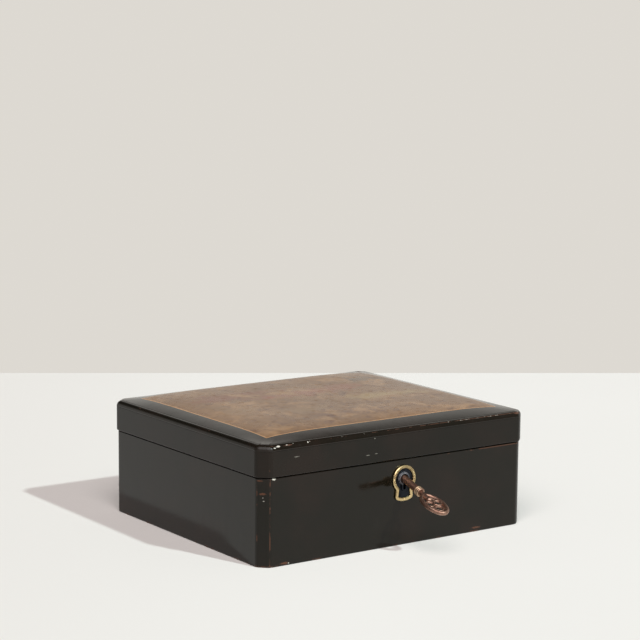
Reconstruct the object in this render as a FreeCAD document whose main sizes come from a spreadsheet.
"""A low lacquered box with a hinged lid, a box lock and its key. Millimetres, +Z up.

The origin is on the surface that the box rests on, under the middle of the case. +X runs along the front to the
right, and +Y runs from the front to the back, where the hinges are. The lid is shut and the lock is undone.
"""

import FreeCAD
import Part
import math
import os
import re

import Sketcher
from FreeCAD import Placement, Rotation, Vector

doc = FreeCAD.newDocument("LacqueredBox")

# Driving dimensions

SIZES = {
    # Case: a canted frame with a bottom board let into it
    "case_width": 202,
    "case_depth": 176,
    "case_height": 54,
    "corner_cut": 5.8,
    "corner_radius": 4.5,
    "wall_thickness": 7,
    "foot_radius": 0.8,
    "rim_radius": 0.5,
    "bottom_thickness": 5,
    "bottom_rebate": 3,
    "glue_line": 0.05,
    "lining_thickness": 1,
    "lining_margin": 0.5,
    # Lid: a cap-like frame with a domed board on top
    "lid_overhang": 0.9,
    "lid_gap": 0.5,
    "lid_side_height": 16,
    "lid_edge_radius": 0.8,
    "lid_rebate": 3,
    "lid_tongue": 2,
    "top_lip_height": 0.3,
    "top_thickness": 4.5,
    "shoulder_radius": 3.5,
    "lid_land_width": 0.15,
    "crown_rise": 4.65,
    "stop_angle": 50,
    # Hinges
    "hinge_share": 0.61,
    "hinge_length": 28,
    "knuckle_radius": 1.6,
    "knuckle_gap": 0.3,
    "knuckle_room": 0.4,
    "pin_radius": 0.8,
    "pin_play": 0.05,
    "pin_fit": 0.02,
    "leaf_thickness": 1,
    "let_in_fit": 0.1,
    "hinge_screw_pitch": 9,
    "hinge_screw_length": 7,
    # Screws
    "screw_radius": 0.8,
    "screw_head_radius": 1.5,
    "screw_head_height": 0.7,
    "screw_slot_width": 0.4,
    "screw_slot_depth": 0.35,
    # Keyhole and what surrounds it on the front
    "keyhole_offset": 3.2,
    "keyhole_drop": 12,
    "hole_radius": 3,
    "hole_slot": 2,
    "hole_reach": 6.8,
    "nozzle_wall": 1,
    "nozzle_height": 0.9,
    "surround_radius": 8.6,
    "surround_drop": 0.2,
    "surround_throat_width": 5.2,
    "surround_foot_width": 7,
    "surround_reach": 13.8,
    "foot_corner_radius": 2.6,
    "waist_radius": 1.6,
    "surround_rim": 1.95,
    "surround_thickness": 1.1,
    "surround_edge_width": 0.35,
    "plate_margin": 0.3,
    "plate_thickness": 0.5,
    "wall_hole_room": 1.3,
    "pin_head_radius": 0.7,
    "pin_head_height": 0.3,
    "pin_tip_radius": 0.4,
    "pin_length": 3.5,
    # Lock: a sheet pan let into the front wall from inside, with ears on the wall
    "mortise_depth": 4.6,
    "lock_width": 47,
    "lock_height": 22.5,
    "lock_stand": 5.9,
    "lock_sheet": 1,
    "ear_length": 5,
    "ear_screw_pitch": 12,
    "ear_screw_length": 5,
    "cap_thickness": 0.6,
    "cap_hole_room": 1.1,
    "bolt_play": 0.1,
    "bolt_thickness": 2,
    "bolt_travel": 3.5,
    "bolt_wing_low": 13.5,
    "bolt_wing_high": 7.1,
    "bolt_finger_low": 4.5,
    "bolt_finger_high": 2.3,
    "bolt_bridge_low": 3.2,
    "bolt_bridge_high": 1.3,
    "bolt_leg_width": 2.9,
    "talon_left_width": 7,
    "talon_right_width": 3.6,
    "bolt_finger_length": 5.3,
    "bolt_riser_width": 2.1,
    "bolt_tail_length": 14,
    "stud_left_distance": 11.5,
    "stud_right_distance": 10.8,
    "stud_drop": 10.3,
    "stud_radius": 1.2,
    "stud_shoulder": 2,
    "stud_play": 0.08,
    "spring_room": 0.4,
    "spring_thickness": 0.4,
    "spring_place": 14.5,
    # Link plate on the lid, with its two hooks
    "link_length": 46,
    "link_width": 5.7,
    "link_thickness": 1,
    "link_screw_spacing": 40,
    "link_screw_length": 7,
    "hook_spacing": 27.1,
    "hook_drop": 6.8,
    "hook_sheet": 1.5,
    "hook_lead_height": 0.6,
    "hook_thickness": 2,
    "hook_gape_width": 3.1,
    "hook_barb_height": 1.6,
    "hook_room": 0.4,
    "catch_gap": 0.7,
    # Key
    "key_droop": 18.5,
    "shank_radius": 2.25,
    "shank_inside": 11.7,
    "bit_distance": 6.2,
    "bit_length": 4,
    "bit_reach": 6.2,
    "bit_thickness": 1.6,
    "ward_width": 0.8,
    "ward_depth": 2,
    "collar_place": 16.2,
    "collar_radius": 2.2,
    "bead_radius": 0.8,
    "collar_pitch": 1.3,
    "neck_radius": 1.6,
    "bow_place": 32,
    "bow_length": 23.6,
    "bow_width": 14.8,
    "bow_band": 2.6,
    "bow_thickness": 2.8,
    "boss_place": 26.8,
    "boss_radius": 1.8,
    "scroll_radius": 2.7,
    "scroll_wire": 0.7,
    "scroll_side_distance": 2.9,
    "scroll_front_distance": 0.6,
    "scroll_back_distance": 5.2,
    # One overrun for every cut that has to pass a face
    "overrun": 2,
}

sheet = doc.addObject("Spreadsheet::Sheet", "Sizes")
for row, (alias, number) in enumerate(SIZES.items(), start=1):
    sheet.set(f"A{row}", alias)
    sheet.set(f"B{row}", str(number))
    sheet.setAlias(f"B{row}", alias)
doc.recompute()


def on_sheet(expression):
    """The same expression with each alias written as a reference to the sheet."""
    return re.sub(r"[A-Za-z_]+", lambda m: f"Sizes.{m[0]}" if m[0] in SIZES else m[0], expression)


def number(expression):
    """What an expression comes to."""
    return float(sheet.evalExpression(on_sheet(expression)))


def bind(thing, **expressions):
    """Binds properties to expressions. Two underscores in a name stand for a dot."""
    for path, expression in expressions.items():
        thing.setExpression(path.replace("__", "."), on_sheet(expression))
    return thing


# Places that several pieces share, as expressions

FRONT = "(-case_depth / 2)"
BACK = "(case_depth / 2)"
WALL_IN = f"({FRONT} + wall_thickness)"
RIM = "case_height"
LID_LOW = "(case_height + lid_gap)"
ARRIS = f"({LID_LOW} + lid_side_height)"
LOCK = "keyhole_offset"
KEYHOLE = "(case_height - keyhole_drop)"
PLATE_FACE = f"({FRONT} - plate_thickness)"
SURROUND_FACE = f"({PLATE_FACE} - surround_thickness)"
SURROUND_Z = f"({KEYHOLE} - surround_drop)"
MORTISE_FLOOR = f"({WALL_IN} - mortise_depth)"
CAP_IN = f"({MORTISE_FLOOR} + cap_thickness)"
BOLT_OUT = f"({CAP_IN} + bolt_play)"
BOLT_IN = f"({BOLT_OUT} + bolt_thickness)"
LOCK_BACK = f"({WALL_IN} + lock_stand)"
LOCK_BACK_IN = f"({LOCK_BACK} - lock_sheet)"
LOCK_LOW = "(case_height - lock_height)"
HINGE_Y = f"({BACK} + lid_overhang - knuckle_radius)"
HINGE_Z = "(case_height + lid_gap / 2)"
HOOK_SPAN = "(hook_gape_width + hook_thickness)"
KNUCKLE = "((hinge_length - 4 * knuckle_gap) / 5)"
TOP_SEAT = f"({ARRIS} - top_lip_height)"
CROWN_LOW = f"({ARRIS} + shoulder_radius + lid_land_width)"
CANT_SHARE = 2 - math.sqrt(2)  # a cant's leg shrinks by this share of an inset
CROWN_POWER, CANT_POWER, CROWN_STEPS = 6, 20, 14
TINY = 1e-6

# Building with primitives

ALONG = {"x": Rotation(Vector(0, 1, 0), 90), "y": Rotation(Vector(1, 0, 0), -90), "z": Rotation()}


def block(name, x, y, z):
    """A box between pairs of expressions, the lower one first in each pair."""
    box = doc.addObject("Part::Box", name)
    return bind(
        box,
        Length=f"{x[1]} - ({x[0]})",
        Width=f"{y[1]} - ({y[0]})",
        Height=f"{z[1]} - ({z[0]})",
        Placement__Base__x=x[0],
        Placement__Base__y=y[0],
        Placement__Base__z=z[0],
    )


def rod(name, along, radius, start, length):
    """A cylinder along an axis from a start point (three expressions)."""
    cylinder = doc.addObject("Part::Cylinder", name)
    cylinder.Placement = Placement(Vector(), ALONG[along])
    return bind(
        cylinder,
        Radius=radius,
        Height=length,
        Placement__Base__x=start[0],
        Placement__Base__y=start[1],
        Placement__Base__z=start[2],
    )


def joined(name, *pieces):
    """The union of several pieces."""
    union = doc.addObject("Part::MultiFuse", name)
    union.Shapes = list(pieces)
    return union


def without(name, base, *tools):
    """A piece with other pieces cut away from it."""
    cut = doc.addObject("Part::Cut", name)
    cut.Base = base
    cut.Tool = tools[0] if len(tools) == 1 else joined(f"{name}_tools", *tools)
    return cut


def shared(name, first, second):
    """What two pieces have in common."""
    common = doc.addObject("Part::Common", name)
    common.Base = first
    common.Tool = second
    return common


NODES = {}


def node(label, thing):
    """Names a finished sub-part."""
    thing.Label = label
    NODES[label] = thing
    return thing


# Building with sketches and features


def origin_plane(body, role):
    """The body's own origin plane of that role."""
    return next(f for f in body.Origin.OriginFeatures if f.Role == role)


def sketch_on(body, name, role, lift="0"):
    """An empty sketch on an origin plane, lifted along the plane's normal."""
    sketch = body.newObject("Sketcher::SketchObject", name)
    sketch.AttachmentSupport = [(origin_plane(body, role), "")]
    sketch.MapMode = "FlatFace"
    bind(sketch, AttachmentOffset__Base__z=lift)
    return sketch


def rectangle(body, name, width, depth, lift="0"):
    """A rectangle centred on the origin, on the plane of the floor."""
    sketch = sketch_on(body, name, "XY_Plane", lift)
    right, back = 2.0, 1.0
    corners = [(-right, -back), (right, -back), (right, back), (-right, back)]
    for k, (x, y) in enumerate(corners):
        end = corners[(k + 1) % 4]
        sketch.addGeometry(Part.LineSegment(Vector(x, y, 0), Vector(*end, 0)), False)
    for k in range(4):
        sketch.addConstraint(Sketcher.Constraint("Coincident", k, 2, (k + 1) % 4, 1))
    for k, rule in enumerate(["Horizontal", "Vertical", "Horizontal", "Vertical"]):
        sketch.addConstraint(Sketcher.Constraint(rule, k))
    sketch.addConstraint(Sketcher.Constraint("Symmetric", 0, 1, 2, 1, -1, 1))
    for rule, line, expression in (("DistanceX", 0, width), ("DistanceY", 1, depth)):
        place = sketch.addConstraint(Sketcher.Constraint(rule, line, 1, line, 2, right))
        sketch.setExpression(f"Constraints[{place}]", on_sheet(expression))
    return sketch


def outline(body, name, role, points, lift="0"):
    """A closed outline through points, each a pair of expressions measured from the sketch's origin."""
    sketch = sketch_on(body, name, role, lift)
    places = [Vector(number(x), number(y), 0) for x, y in points]
    count = len(places)
    for k in range(count):
        sketch.addGeometry(Part.LineSegment(places[k], places[(k + 1) % count]), False)
    for k in range(count):
        sketch.addConstraint(Sketcher.Constraint("Coincident", k, 2, (k + 1) % count, 1))
    for k, pair in enumerate(points):
        for rule, expression, value in zip(("DistanceX", "DistanceY"), pair, places[k]):
            place = sketch.addConstraint(Sketcher.Constraint(rule, -1, 1, k, 1, value))
            sketch.setExpression(f"Constraints[{place}]", on_sheet(expression))
    return sketch


def pad(body, sketch, length, name, backward=False):
    """Material from a sketch, along the sketch's normal or against it."""
    feature = body.newObject("PartDesign::Pad", name)
    feature.Profile = sketch
    feature.Reversed = backward
    return bind(feature, Length=length)


def picked(feature, test):
    """The names of a feature's edges that pass a test. The test is given the edge and the feature's bounds."""
    box = feature.Shape.BoundBox
    return [f"Edge{k}" for k, edge in enumerate(feature.Shape.Edges, start=1) if test(edge, box)]


def upright(edge, _box):
    """Whether an edge runs straight up."""
    first, last = edge.Vertexes[0].Point, edge.Vertexes[-1].Point
    flat = math.hypot(last.x - first.x, last.y - first.y)
    return abs(last.z - first.z) > flat * 100


def eased(body, kind, name, feature, test, amount):
    """A fillet or chamfer on the edges that pass a test."""
    doc.recompute()
    dressing = body.newObject(f"PartDesign::{kind}", name)
    dressing.Base = (feature, picked(feature, test))
    return bind(dressing, **{"Radius" if kind == "Fillet" else "Size": amount})


def level(top):
    """A test for edges that lie in a feature's top or bottom plane."""
    return lambda edge, box: all(abs(v.Z - (box.ZMax if top else box.ZMin)) < TINY for v in edge.Vertexes)


def canted(label, low, rise, inset="0", softness=None):
    """A block that follows the canted outline at an inset, with its upright arrises softened if asked."""
    body = doc.addObject("PartDesign::Body", f"{label}_body")
    plan = rectangle(body, f"{label}_plan", f"case_width - 2 * {inset}", f"case_depth - 2 * {inset}", low)
    last = pad(body, plan, rise, f"{label}_block")
    last = eased(body, "Chamfer", f"{label}_cants", last, upright, f"corner_cut - {CANT_SHARE} * {inset}")
    if softness:
        last = eased(body, "Fillet", f"{label}_arrises", last, upright, softness)
    return body, last


# Screws

DRIVEN = {"down": Rotation(), "up": Rotation(Vector(1, 0, 0), 180), "forward": Rotation(Vector(1, 0, 0), -90)}


def placed(name, thing, place, turn):
    """A copy of a thing turned and moved to a place."""
    copy = doc.addObject("Part::Compound", name)
    copy.Links = [thing]
    copy.Placement = Placement(Vector(), turn)
    return bind(copy, Placement__Base__x=place[0], Placement__Base__y=place[1], Placement__Base__z=place[2])


def screws(label, way, length, places):
    """A sub-part of like countersunk screws with slotted heads, flush at their places. Gives their rooms."""
    head = doc.addObject("Part::Cone", f"{label}_head")
    bind(head, Radius1="screw_radius", Radius2="screw_head_radius", Height="screw_head_height")
    bind(head, Placement__Base__z="-screw_head_height")
    shank = rod(f"{label}_shank", "z", "screw_radius", ("0", "0", f"-{length}"), length)
    room = joined(f"{label}_room", head, shank)
    slot = block(
        f"{label}_slot",
        ("-screw_head_radius", "screw_head_radius"),
        ("-screw_slot_width / 2", "screw_slot_width / 2"),
        ("-screw_slot_depth", "overrun"),
    )
    blank = without(f"{label}_screw", room, slot)
    turn = DRIVEN[way]
    node(label, joined(f"{label}_set", *[placed(f"{label}_{k}", blank, p, turn) for k, p in enumerate(places)]))
    return [placed(f"{label}_room_{k}", room, place, turn) for k, place in enumerate(places)]


# Keyhole shapes


def flared(name, inset, low, high):
    """A keyhole-shaped plate: a round head and a flared foot that ends in an arc about the head's centre. The
    foot's corners and the waist between head and foot are rounded."""
    thick = f"({high} - {low})"
    head = rod(f"{name}_head", "y", f"surround_radius - {inset}", (LOCK, low, SURROUND_Z), thick)
    limit = rod(f"{name}_limit", "y", f"surround_reach - {inset}", (LOCK, low, SURROUND_Z), thick)
    foot = doc.addObject("Part::Wedge", f"{name}_foot")
    # The wedge grows along its own Y, which is turned to point down
    foot.Placement = Placement(Vector(), ALONG["y"])
    near, far = f"(surround_throat_width - {inset})", f"(surround_foot_width - {inset})"
    bind(foot, Xmin=f"-{near}", Xmax=near, X2min=f"-{far}", X2max=far)
    bind(foot, Ymin="0", Ymax="surround_reach", Zmin="0", Z2min="0", Zmax=thick, Z2max=thick)
    bind(foot, Placement__Base__x=LOCK, Placement__Base__y=low, Placement__Base__z=SURROUND_Z)
    sharp = joined(f"{name}_sharp", head, shared(f"{name}_foot_end", foot, limit))
    doc.recompute()
    waist, corner = number("waist_radius"), number(f"foot_corner_radius - {inset}")
    end, middle = number(f"surround_reach - {inset}"), number(SURROUND_Z)
    rounded = doc.addObject("Part::Fillet", name)
    rounded.Base = sharp
    rounds = []
    for k, edge in enumerate(sharp.Shape.Edges, start=1):
        first, last = edge.Vertexes[0].Point, edge.Vertexes[-1].Point
        across, down = abs(first.x - number(LOCK)), middle - first.z
        if abs(first.y - last.y) > TINY and down > TINY:
            radius = corner if math.hypot(across, down) > end - TINY else waist
            rounds.append((k, radius, radius))
    rounded.Edges = rounds
    return rounded


def keyhole(name, room, low, high):
    """A round eye with a slot below it that ends in a half round, all made larger by some room."""
    thick = f"({high} - {low})"
    half = f"(hole_slot / 2 + {room})"
    bottom = f"({KEYHOLE} - hole_reach + hole_slot / 2)"
    eye = rod(f"{name}_eye", "y", f"hole_radius + {room}", (LOCK, low, KEYHOLE), thick)
    slot = block(f"{name}_slot", (f"{LOCK} - {half}", f"{LOCK} + {half}"), (low, high), (bottom, KEYHOLE))
    return joined(name, eye, slot, rod(f"{name}_end", "y", half, (LOCK, low, bottom), thick))


# Lock, let into the front wall from inside

LOCK_LEFT, LOCK_RIGHT = f"({LOCK} - lock_width / 2)", f"({LOCK} + lock_width / 2)"
EAR_BACK = f"({WALL_IN} + lock_sheet)"
HOOKS = [f"({LOCK} - hook_spacing / 2)", f"({LOCK} + hook_spacing / 2)"]
HOOK_OUT = f"({BOLT_OUT} + bolt_thickness / 2 - hook_sheet / 2)"
HOOK_IN = f"({HOOK_OUT} + hook_sheet)"
STUDS = [f"({LOCK} - stud_left_distance)", f"({LOCK} + stud_right_distance)"]
STUD_Z = "(case_height - stud_drop)"

mortise = block(
    "mortise",
    (f"{LOCK_LEFT} - let_in_fit", f"{LOCK_RIGHT} + let_in_fit"),
    (MORTISE_FLOOR, f"{WALL_IN} + overrun"),
    (f"{LOCK_LOW} - let_in_fit", f"{RIM} + overrun"),
)
ear_screw_rooms = screws(
    "lock_screws", "forward", "ear_screw_length",
    [
        (f"{side} {sign} ear_length / 2", EAR_BACK, f"{RIM} - lock_height / 2 {step} ear_screw_pitch / 2")
        for side, sign in ((LOCK_LEFT, "-"), (LOCK_RIGHT, "+")) for step in ("-", "+")
    ],
)
pan = block("pan_outside", (LOCK_LEFT, LOCK_RIGHT), (MORTISE_FLOOR, LOCK_BACK), (LOCK_LOW, RIM))
pan_inside = block(
    "pan_inside",
    (f"{LOCK_LEFT} + lock_sheet", f"{LOCK_RIGHT} - lock_sheet"),
    (f"{MORTISE_FLOOR} - overrun", LOCK_BACK_IN),
    (f"{LOCK_LOW} + lock_sheet", f"{RIM} - lock_sheet"),
)
ears = block(
    "ears", (f"{LOCK_LEFT} - ear_length", f"{LOCK_RIGHT} + ear_length"), (WALL_IN, EAR_BACK), (LOCK_LOW, RIM),
)
hook_slots = [
    block(
        f"hook_slot_{k}",
        (f"{hook} - {HOOK_SPAN} / 2 - hook_room", f"{hook} + {HOOK_SPAN} / 2 + hook_room"),
        (f"{HOOK_OUT} - hook_room", f"{HOOK_IN} + hook_room"),
        (f"{RIM} - lock_sheet - lock_sheet / 2", f"{RIM} + overrun"),
    )
    for k, hook in enumerate(HOOKS)
]
stud_length = f"{LOCK_BACK} - {MORTISE_FLOOR}"
stud_tails = [
    rod(f"stud_hole_{k}", "y", "stud_radius + pin_fit", (stud, MORTISE_FLOOR, STUD_Z), stud_length)
    for k, stud in enumerate(STUDS)
]
pan_and_ears = joined("pan_and_ears", pan, ears)
node("lock_case", without("pan", pan_and_ears, pan_inside, *hook_slots, *stud_tails, *ear_screw_rooms))

cap_blank = block(
    "cap_blank",
    (f"{LOCK_LEFT} + lock_sheet + let_in_fit", f"{LOCK_RIGHT} - lock_sheet - let_in_fit"),
    (MORTISE_FLOOR, CAP_IN),
    (f"{LOCK_LOW} + lock_sheet + let_in_fit", f"{RIM} - lock_sheet - let_in_fit"),
)
cap_hole = keyhole("cap_hole", "cap_hole_room", f"({MORTISE_FLOOR} - overrun)", f"({CAP_IN} + overrun)")
node("lock_cap", without("cap", cap_blank, cap_hole, *stud_tails))

stud_parts = []
for k, stud in enumerate(STUDS):
    stud_parts.append(rod(f"stem_{k}", "y", "stud_radius", (stud, MORTISE_FLOOR, STUD_Z), stud_length))
    start = f"({BOLT_IN} + bolt_play)"
    step = (stud, start, STUD_Z)
    stud_parts.append(rod(f"shoulder_{k}", "y", "stud_shoulder", step, f"{LOCK_BACK_IN} - {start}"))
node("guide_studs", joined("studs", *stud_parts))

spring_rings = []
for name, radius in (("outer", "0"), ("inner", "spring_thickness")):
    ring = rod(
        f"spring_{name}", "y", f"lock_height - lock_sheet - bolt_wing_low - spring_room - {radius}",
        (f"{LOCK} - spring_place", BOLT_IN, f"{LOCK_LOW} + lock_sheet"), "bolt_thickness",
    )
    ring.Placement.Rotation = Rotation(Vector(1, 0, 0), 90)
    ring.Angle = 180
    spring_rings.append(ring)
node("bolt_spring", without("spring", *spring_rings))

# Bolt: one plate with a talon for the key, two fingers for the hooks and two slots for the studs

wing_low, wing_high = f"{RIM} - bolt_wing_low", f"{RIM} - bolt_wing_high"
finger_low, finger_high = f"{RIM} - bolt_finger_low", f"{RIM} - bolt_finger_high"
bridge_low, bridge_high = f"{RIM} - bolt_bridge_low", f"{RIM} - bolt_bridge_high"
tips = [f"({side} hook_spacing / 2 - {HOOK_SPAN} / 2 - catch_gap)" for side in ("-", "")]
head_end = f"({tips[0]} - bolt_finger_length)"
leg_left, leg_right = "(-talon_left_width - bolt_leg_width)", "(talon_right_width + bolt_leg_width)"
bolt_body = doc.addObject("PartDesign::Body", "bolt_body")
bolt_outline = outline(
    bolt_body, "bolt_outline", "XZ_Plane",
    [
        (head_end, wing_low), (head_end, finger_high), (tips[0], finger_high), (tips[0], finger_low),
        (f"{head_end} + bolt_riser_width", finger_low), (f"{head_end} + bolt_riser_width", wing_high),
        (leg_left, wing_high), (leg_left, bridge_high), (leg_right, bridge_high), (leg_right, finger_high),
        (tips[1], finger_high), (tips[1], finger_low), (leg_right, finger_low), (leg_right, wing_high),
        ("bolt_tail_length", wing_high), ("bolt_tail_length", wing_low), ("talon_right_width", wing_low),
        ("talon_right_width", bridge_low), ("-talon_left_width", bridge_low), ("-talon_left_width", wing_low),
    ],
    f"-{BOLT_IN}",
)
pad(bolt_body, bolt_outline, "bolt_thickness", "bolt_plate")
bind(bolt_body, Placement__Base__x=LOCK)
stud_slots = []
for k, stud in enumerate(STUDS):
    ends = (f"{stud} - bolt_travel", stud)
    half = "(stud_radius + stud_play)"
    middle = block(f"stud_slot_{k}", ends, (BOLT_OUT, BOLT_IN), (f"{STUD_Z} - {half}", f"{STUD_Z} + {half}"))
    rounds = [
        rod(f"slot_end_{k}_{n}", "y", half, (x, BOLT_OUT, STUD_Z), "bolt_thickness") for n, x in enumerate(ends)
    ]
    stud_slots.append(joined(f"slot_{k}", middle, *rounds))
node("lock_bolt", without("bolt", bolt_body, *stud_slots))

# Link plate: let into the lid's front rail, with a hook at each end of the lock

link_y = (f"{WALL_IN} - link_width", WALL_IN)
link_plate = block(
    "link_strip", (f"{LOCK} - link_length / 2", f"{LOCK} + link_length / 2"), link_y,
    (LID_LOW, f"{LID_LOW} + link_thickness"),
)
link_bed = block(
    "link_bed",
    (f"{LOCK} - link_length / 2 - let_in_fit", f"{LOCK} + link_length / 2 + let_in_fit"),
    (f"{link_y[0]} - let_in_fit", f"{WALL_IN} + overrun"),
    (f"{LID_LOW} - overrun", f"{LID_LOW} + link_thickness + glue_line"),
)
link_screw_rooms = screws(
    "link_screws", "up", "link_screw_length",
    [(f"{LOCK} {sign} link_screw_spacing / 2", f"{WALL_IN} - link_width / 2", LID_LOW) for sign in ("-", "+")],
)
hook_parts = []
for k, hook in enumerate(HOOKS):
    body = doc.addObject("PartDesign::Body", f"hook_{k}")
    far, near = f"(-{HOOK_SPAN} / 2)", f"({HOOK_SPAN} / 2)"
    tip, top = f"({LID_LOW} - hook_drop)", f"({LID_LOW} + link_thickness)"
    hook_outline = outline(
        body, f"hook_outline_{k}", "XZ_Plane",
        [
            (near, top), (near, tip), (f"{far} + hook_lead_height", tip), (far, f"{tip} + hook_lead_height"),
            (far, f"{tip} + hook_barb_height"), (f"{near} - hook_thickness", f"{tip} + hook_barb_height"),
            (f"{near} - hook_thickness", top),
        ],
        f"-{HOOK_IN}",
    )
    pad(body, hook_outline, "hook_sheet", f"hook_plate_{k}")
    hook_parts.append(bind(body, Placement__Base__x=hook))
node("link_plate", without("link", joined("link_and_hooks", link_plate, *hook_parts), *link_screw_rooms))

# Hinges

walls_bed, leaf_rooms, hinge_rooms = [], {"case": [], "lid": []}, {"case": [], "lid": []}
leaf_low = {"case": f"({RIM} - leaf_thickness)", "lid": LID_LOW}
leaf_bed = {
    "case": (f"{RIM} - leaf_thickness - glue_line", f"{RIM} + overrun"),
    "lid": (f"{LID_LOW} - overrun", f"{LID_LOW} + leaf_thickness + glue_line"),
}
HINGES = {"left": "(-case_width * hinge_share / 2)", "right": "(case_width * hinge_share / 2)"}
leaf_y = (f"{BACK} - wall_thickness", HINGE_Y)
for part, way, face in (("case", "down", RIM), ("lid", "up", LID_LOW)):
    hinge_rooms[part] = screws(
        f"hinge_screws_{part}", way, "hinge_screw_length",
        [
            (f"{centre} + {step} * hinge_screw_pitch", f"{BACK} - (wall_thickness + knuckle_radius) / 2", face)
            for centre in HINGES.values() for step in (-1, 0, 1)
        ],
    )
for side, centre in HINGES.items():
    begin, end = f"({centre} - hinge_length / 2)", f"({centre} + hinge_length / 2)"
    starts = [f"({begin} + {k} * ({KNUCKLE} + knuckle_gap))" for k in range(5)]
    barrels = [
        rod(f"barrel_{side}_{k}", "x", "knuckle_radius", (start, HINGE_Y, HINGE_Z), KNUCKLE)
        for k, start in enumerate(starts)
    ]
    barrel_rooms = [
        rod(
            f"barrel_room_{side}_{k}", "x", "knuckle_radius + knuckle_gap",
            (f"{start} - knuckle_gap", HINGE_Y, HINGE_Z), f"{KNUCKLE} + 2 * knuckle_gap",
        )
        for k, start in enumerate(starts)
    ]
    walls_bed.append(
        rod(
            f"hinge_bed_{side}", "x", "knuckle_radius + knuckle_room",
            (f"{begin} - knuckle_gap", HINGE_Y, HINGE_Z), "hinge_length + 2 * knuckle_gap",
        )
    )
    for part, own, play in (("case", (0, 2, 4), "pin_fit"), ("lid", (1, 3), "pin_play")):
        low = leaf_low[part]
        plate = block(f"leaf_{part}_{side}", (begin, end), leaf_y, (low, f"{low} + leaf_thickness"))
        others = [room for k, room in enumerate(barrel_rooms) if k not in own]
        trimmed = without(f"leaf_trimmed_{part}_{side}", plate, *others)
        bore = rod(
            f"bore_{part}_{side}", "x", f"pin_radius + {play}",
            (f"{begin} - overrun", HINGE_Y, HINGE_Z), "hinge_length + 2 * overrun",
        )
        solid = joined(f"leaf_solid_{part}_{side}", trimmed, *[barrels[k] for k in own])
        at = 0 if side == "left" else 3
        leaf = without(f"hinge_{part}_{side}", solid, bore, *hinge_rooms[part][at:at + 3])
        node(f"hinge_{part}_leaf_{side}", leaf)
        leaf_rooms[part].append(
            block(
                f"leaf_room_{part}_{side}", (f"{begin} - let_in_fit", f"{end} + let_in_fit"),
                (f"{leaf_y[0]} - overrun", HINGE_Y), leaf_bed[part],
            )
        )
    node(f"hinge_pin_{side}", rod(f"pin_{side}", "x", "pin_radius", (begin, HINGE_Y, HINGE_Z), "hinge_length"))


def rear_bevel(name, low, angle):
    """The room behind the hinge line that lets the lid turn until its bevel meets the case's."""
    wedge = doc.addObject("Part::Box", name)
    wedge.Placement = Placement(Vector(), Rotation(Vector(-1, 0, 0), 1))
    bind(wedge, Placement__Rotation__Angle=angle, Length="case_width + 2 * overrun")
    bind(wedge, Width="4 * knuckle_radius", Height="4 * knuckle_radius")
    bind(wedge, Placement__Base__x="-case_width / 2 - overrun")
    return bind(wedge, Placement__Base__y=HINGE_Y, Placement__Base__z=low)


# Case

case_body, case_soft = canted("case", "0", RIM, softness="corner_radius")
foot = eased(case_body, "Fillet", "case_foot", case_soft, level(top=False), "foot_radius")
eased(case_body, "Fillet", "case_rim", foot, level(top=True), "rim_radius")
case_hollow, _ = canted("case_hollow", "-overrun", f"{RIM} + 2 * overrun", "wall_thickness")
bottom_room, _ = canted("bottom_room", "-overrun", "overrun + bottom_thickness + glue_line",
                        "(wall_thickness - bottom_rebate)")
bottom, _ = canted("bottom", "0", "bottom_thickness", "(wall_thickness - bottom_rebate + glue_line)")
node("case_bottom", bottom)
LINING_INSET = "(wall_thickness + lining_margin)"
lining, _ = canted("lining", "bottom_thickness + glue_line", "lining_thickness", LINING_INSET)
node("floor_lining", lining)

PINS = [
    (f"{LOCK} - surround_radius + surround_rim / 2", SURROUND_Z),
    (f"{LOCK} + surround_radius - surround_rim / 2", SURROUND_Z),
    (LOCK, f"{SURROUND_Z} - surround_reach + surround_rim / 2"),
]
pin_shanks, pin_solids = [], []
for k, (x, z) in enumerate(PINS):
    shank = rod(f"pin_shank_{k}", "y", "pin_tip_radius", (x, SURROUND_FACE, z), "pin_length")
    head = doc.addObject("Part::Cone", f"pin_head_{k}")
    head.Placement = Placement(Vector(), ALONG["y"])
    bind(head, Radius1="pin_tip_radius", Radius2="pin_head_radius", Height="pin_head_height")
    bind(head, Placement__Base__x=x, Placement__Base__z=z)
    bind(head, Placement__Base__y=f"{SURROUND_FACE} - pin_head_height")
    pin_shanks.append(shank)
    pin_solids.append(joined(f"pin_{k}", head, shank))
node("escutcheon_pins", joined("surround_pins", *pin_solids))

wall_hole = keyhole("wall_hole", "wall_hole_room", f"({FRONT} - overrun)", f"({MORTISE_FLOOR} + overrun)")
case_walls = without(
    "case_cut", case_body, case_hollow, bottom_room, mortise, wall_hole,
    rear_bevel("case_bevel", RIM, "stop_angle"),
    *walls_bed, *leaf_rooms["case"], *hinge_rooms["case"], *ear_screw_rooms, *pin_shanks,
)
node("case_walls", case_walls)

plate_blank = flared("plate_blank", "plate_margin", PLATE_FACE, FRONT)
nozzle = keyhole("nozzle", "nozzle_wall", f"({PLATE_FACE} - nozzle_height)", FRONT)
plate_hole = keyhole("plate_hole", "0", f"({PLATE_FACE} - nozzle_height)", FRONT)
plate_and_nozzle = joined("plate_and_nozzle", plate_blank, nozzle)
node("keyhole_plate", without("plate", plate_and_nozzle, plate_hole, *pin_shanks))

surround_ring = without(
    "surround_ring", flared("surround_blank", "0", SURROUND_FACE, PLATE_FACE),
    flared("surround_room", "surround_rim", SURROUND_FACE, PLATE_FACE),
)
doc.recompute()
surround = doc.addObject("Part::Chamfer", "surround_soft_edge")
surround.Base = surround_ring
face_y, soft = number(SURROUND_FACE), number("surround_edge_width")
surround.Edges = [
    (k, soft, soft) for k, edge in enumerate(surround_ring.Shape.Edges, start=1)
    if all(abs(v.Y - face_y) < TINY for v in edge.Vertexes)
]
node("escutcheon", without("surround", surround, *pin_shanks))

# Lid

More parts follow.
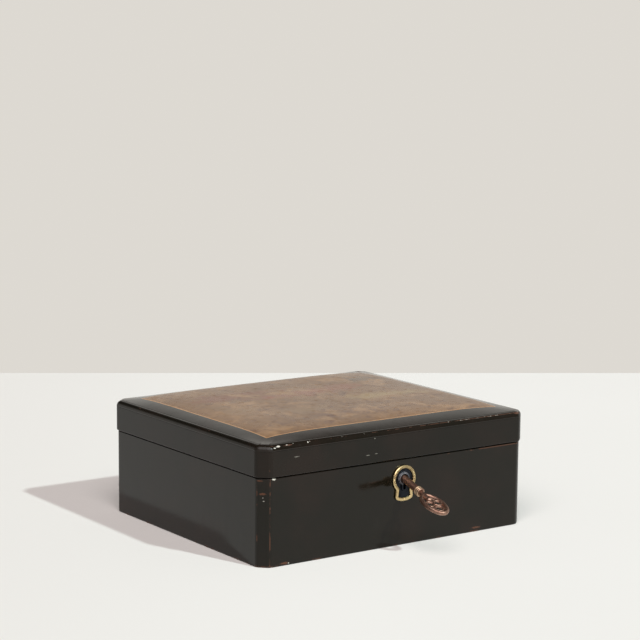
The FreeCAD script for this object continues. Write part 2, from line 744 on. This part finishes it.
lid_rise, lid_depth = f"{TOP_SEAT} - glue_line - {LID_LOW}", "lid_side_height + shoulder_radius + crown_rise"
lid_body, lid_block = canted("lid", LID_LOW, lid_rise, "(-lid_overhang)", "corner_radius")
eased(lid_body, "Fillet", "lid_lower_edge", lid_block, level(top=False), "lid_edge_radius")
lid_hollow, _ = canted("lid_hollow", f"{LID_LOW} - overrun", "lid_side_height + 2 * overrun", "wall_thickness")
REBATE_INSET = "(wall_thickness - lid_rebate)"
lid_rebate, _ = canted("lid_rebate", f"{ARRIS} - lid_tongue", "lid_tongue + overrun", REBATE_INSET)
lid_walls = without(
    "lid_cut", lid_body, lid_hollow, lid_rebate, rear_bevel("lid_bevel", LID_LOW, "90 - stop_angle"),
    *walls_bed, *leaf_rooms["lid"], *hinge_rooms["lid"], link_bed, *link_screw_rooms,
)
node("lid_walls", lid_walls)


def crown_solid():
    """The lid's pillow surface over its flat border, and the room below it. Each of three factors falls from
    one to nothing: toward the ends, toward the front and back, and toward the canted corners."""
    border = "(shoulder_radius + lid_land_width - lid_overhang)"
    half_x = number(f"case_width / 2 - {border}")
    half_y = number(f"case_depth / 2 - {border}")
    to_cant = half_x + half_y - number(f"corner_cut - {CANT_SHARE} * {border}")
    past = 1 + number("overrun") / half_x
    rows = []
    for i in range(-CROWN_STEPS, CROWN_STEPS + 1):
        u = past * i / CROWN_STEPS
        row = []
        for j in range(-CROWN_STEPS, CROWN_STEPS + 1):
            v = past * j / CROWN_STEPS
            w = (abs(u) * half_x + abs(v) * half_y) / to_cant
            rise = (1 - u ** CROWN_POWER) * (1 - v ** CROWN_POWER) * (1 - min(w, 1) ** CANT_POWER)
            if abs(u) > 1 or abs(v) > 1:
                rise = -abs(rise)
            row.append(Vector(u * half_x, v * half_y, number("crown_rise") * rise))
        rows.append(row)
    surface = Part.BSplineSurface()
    surface.interpolate(rows)
    depth = number("top_thickness + shoulder_radius + crown_rise + overrun")
    return surface.toShape().extrude(Vector(0, 0, -depth))


crown_shape = crown_solid()


def crown(name, level_at):
    """A copy of the room under the crown, with its border at a level."""
    feature = doc.addObject("Part::Feature", name)
    feature.Shape = crown_shape
    return bind(feature, Placement__Base__z=level_at)


slab_rise = "top_lip_height + shoulder_radius"
slab_body, slab_block = canted("slab", TOP_SEAT, slab_rise, "(-lid_overhang)", "corner_radius")
eased(slab_body, "Fillet", "slab_shoulder", slab_block, level(top=True), "shoulder_radius")
pillow_edge, _ = canted(
    "pillow", TOP_SEAT, f"{slab_rise} + lid_land_width + crown_rise + overrun",
    "(shoulder_radius + lid_land_width - lid_overhang)", "corner_radius - shoulder_radius - lid_land_width",
)
pillow = shared("pillow_top", pillow_edge, crown("crown_top", CROWN_LOW))
tongue, _ = canted(
    "tongue", f"{ARRIS} - lid_tongue + glue_line", "lid_tongue - glue_line",
    "(wall_thickness - lid_rebate + glue_line)",
)
underside_edge, _ = canted("underside", LID_LOW, lid_depth, "wall_thickness")
underside = shared("underside_room", underside_edge, crown("crown_below", f"{CROWN_LOW} - top_thickness"))
node("lid_top", without("top", joined("top_blank", slab_body, pillow, tongue), underside))

lid_lining_edge, _ = canted("lid_lining_edge", LID_LOW, lid_depth, LINING_INSET)
lining_top = f"{CROWN_LOW} - top_thickness - glue_line"
lining_blank = shared("lid_lining_blank", lid_lining_edge, crown("crown_lining", lining_top))
crown_inside = crown("crown_inside", f"{lining_top} - lining_thickness")
node("lid_lining", without("lid_lining_sheet", lining_blank, crown_inside))

# Key, drawn along its own Y with the keyhole at its origin and tilted when it is whole

shank = rod("key_shank", "y", "shank_radius", ("0", "-collar_place", "0"), "collar_place + shank_inside")
neck = rod("key_neck", "y", "neck_radius", ("0", "-boss_place", "0"), "boss_place - collar_place")


def ring(name, middle, wire, turn, y, x="0"):
    """A ring of round wire."""
    torus = doc.addObject("Part::Torus", name)
    torus.Placement = Placement(Vector(), turn)
    return bind(torus, Radius1=middle, Radius2=wire, Placement__Base__x=x, Placement__Base__y=y)


boss = doc.addObject("Part::Sphere", "boss")
bind(boss, Radius="boss_radius", Placement__Base__y="-boss_place")
beads = [
    ring(f"bead_{k}", "collar_radius", "bead_radius", ALONG["y"], f"{k} * collar_pitch - collar_place")
    for k in (-1, 0, 1)
]
scroll_places = [
    (f"{side}scroll_side_distance", "scroll_front_distance") for side in ("-", "")
] + [("0", "-scroll_back_distance")]
scrolls = [
    ring(f"scroll_{k}", "scroll_radius", "scroll_wire", Rotation(), f"{y} - bow_place", x)
    for k, (x, y) in enumerate(scroll_places)
]
bow_line = doc.addObject("Part::Ellipse", "bow_line")
bow_line.Placement = Placement(Vector(), Rotation(Vector(0, 0, 1), 90))
bind(bow_line, MajorRadius="(bow_length - bow_band) / 2", MinorRadius="(bow_width - bow_band) / 2")
bind(bow_line, Placement__Base__y="-bow_place")
bow_section = doc.addObject("Part::Ellipse", "bow_section")
bow_section.Placement = Placement(Vector(), Rotation(Vector(0, 1, 0), -90))
bind(bow_section, MajorRadius="bow_thickness / 2", MinorRadius="bow_band / 2")
bind(bow_section, Placement__Base__y="(bow_length - bow_band) / 2 - bow_place")
bow = doc.addObject("Part::Sweep", "bow")
bow.Sections = [bow_section]
bow.Spine = (bow_line, ["Edge1"])
bow.Solid = True
bow.Frenet = True
bit_blank = block(
    "bit_blank", ("-bit_reach", "0"), ("bit_distance", "bit_distance + bit_length"),
    ("-bit_thickness / 2", "bit_thickness / 2"),
)
wards = []
for k in (1, 2):
    middle = f"bit_distance + {k} * bit_length / 3"
    along = (f"{middle} - ward_width / 2", f"{middle} + ward_width / 2")
    up = ("-bit_thickness / 2", "bit_thickness / 2")
    wards.append(block(f"ward_{k}", ("-bit_reach", "ward_depth - bit_reach"), along, up))
bit = without("bit", bit_blank, *wards)
key = node("key", joined("whole_key", shank, neck, boss, *beads, bow, *scrolls, bit))
key.Placement = Placement(Vector(), Rotation(Vector(1, 0, 0), 1))
bind(key, Placement__Rotation__Angle="key_droop")
bind(key, Placement__Base__x=LOCK, Placement__Base__y=PLATE_FACE, Placement__Base__z=KEYHOLE)

# Checks and export

doc.recompute()
bad = [thing.Label for thing in doc.Objects if {"Invalid", "Error"} & set(thing.State)]
bad += [label for label, thing in NODES.items() if thing.Shape.isNull() or not thing.Shape.isValid()]
if bad:
    raise RuntimeError(f"these did not build: {bad}")
os.makedirs("parts", exist_ok=True)
for label, thing in NODES.items():
    thing.Shape.exportStep(f"parts/{label}.step")
    box = thing.Shape.BoundBox
    print(f"{label:24s} {len(thing.Shape.Solids)} solids {thing.Shape.Volume:10.1f} mm3  {box}")
